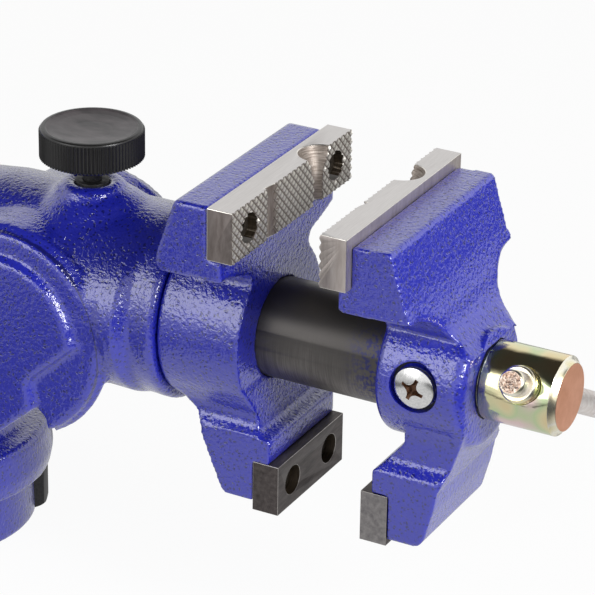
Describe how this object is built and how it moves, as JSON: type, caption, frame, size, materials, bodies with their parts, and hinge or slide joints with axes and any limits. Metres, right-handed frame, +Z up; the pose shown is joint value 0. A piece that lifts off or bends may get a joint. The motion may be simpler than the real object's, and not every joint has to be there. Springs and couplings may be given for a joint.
{
  "type": "bench vise",
  "caption": "Multi-jaw bench vise: a rotating head with flat and pipe jaws, a tubular slide bar, a screw spindle, a lock knob and a swivel base.",
  "frame": {"origin": "centre of the swivel base's underside, on the swivel axis, in the plane of the bench", "axes": "+Z up along the swivel axis, +X along the spindle towards the handle, so +Y is to the left when facing the way the jaws open"},
  "size_m": [0.4932, 0.2656, 0.2565],
  "materials": {
    "blue_paint": "hammered gloss enamel",
    "jaw_steel": "milled and sawn",
    "dark_jaw_steel": "ground, darkened",
    "dark_tube": "turned and blackened",
    "black_oxide": "black oxide",
    "black_knob": "satin black",
    "bright_zinc": "bright zinc",
    "yellow_zinc": "yellow-passivated zinc",
    "ground_steel": "ground",
    "nut_brass": "machined"
  },
  "bodies": {
    "base": {"swivel_base": "blue_paint", "pivot_bolt": "black_oxide", "pivot_washer": "bright_zinc", "pivot_nut": "black_oxide", "lock_bolts": "black_oxide"},
    "nut_left": {"lock_nut_left": "black_oxide"},
    "nut_right": {"lock_nut_right": "black_oxide"},
    "body": {"vise_body": "blue_paint", "rear_cap": "blue_paint", "rear_cap_screws": "bright_zinc", "lock_bush": "black_oxide"},
    "lock": {"lock_pin": "black_oxide"},
    "knob": {"lock_knob": "black_knob"},
    "head": {"rotating_head": "blue_paint", "retaining_collar": "black_oxide", "collar_screws": "bright_zinc", "spindle_nut": "nut_brass", "nut_bolt": "bright_zinc", "slide_key": "ground_steel", "rear_upper_plate": "jaw_steel", "rear_upper_screws": "black_oxide", "rear_lower_plate": "dark_jaw_steel", "rear_lower_screws": "black_oxide"},
    "jaw": {"moving_jaw": "blue_paint", "front_upper_plate": "jaw_steel", "front_upper_screws": "black_oxide", "front_lower_plate": "dark_jaw_steel", "front_lower_screws": "black_oxide", "slide_bar": "dark_tube", "slide_bar_screws": "bright_zinc", "thrust_washer": "bright_zinc"},
    "spindle": {"spindle": "yellow_zinc", "spindle_collar": "black_oxide", "collar_pin": "ground_steel"},
    "handle": {"handle_rod": "bright_zinc", "handle_near_end": "yellow_zinc", "handle_far_end": "yellow_zinc"}
  },
  "joints": [
    {"name": "swivel", "type": "hinge", "parent": "base", "child": "body", "pos_m": [0, 0, 0.03], "axis": [0, 0, 1], "continuous": true},
    {"name": "nut_left_turn", "type": "hinge", "parent": "base", "child": "nut_left", "pos_m": [0.04692, 0.03409, 0.015], "axis": [0, 0, 1], "range_deg": [0, 180]},
    {"name": "nut_right_turn", "type": "hinge", "parent": "base", "child": "nut_right", "pos_m": [0.04692, -0.03409, 0.015], "axis": [0, 0, 1], "range_deg": [0, 180]},
    {"name": "lock_slide", "type": "slide", "parent": "body", "child": "lock", "axis": [0, 0, 1], "range_m": [-0.006, 0]},
    {"name": "knob_turn", "type": "hinge", "parent": "lock", "child": "knob", "pos_m": [0.114, 0, 0.246], "axis": [0, 0, 1], "range_deg": [-1080, 1]},
    {"name": "head_spin", "type": "hinge", "parent": "body", "child": "head", "pos_m": [0.2, 0, 0.168], "axis": [1, 0, 0], "continuous": true},
    {"name": "jaw_slide", "type": "slide", "parent": "head", "child": "jaw", "axis": [1, 0, 0], "range_m": [-0.047, 0.0775]},
    {"name": "spindle_turn", "type": "hinge", "parent": "jaw", "child": "spindle", "pos_m": [0.36, 0, 0.168], "axis": [1, 0, 0], "range_deg": [-3385, 5581]},
    {"name": "handle_slide", "type": "slide", "parent": "spindle", "child": "handle", "axis": [0, -0.8755, 0.4833], "range_m": [0, 0.154]}
  ],
  "couplings": [
    {"joint": "spindle_turn", "follows": "jaw_slide", "rad_per_m": 1256.6},
    {"joint": "knob_turn", "follows": "lock_slide", "rad_per_m": 3141.6}
  ]
}
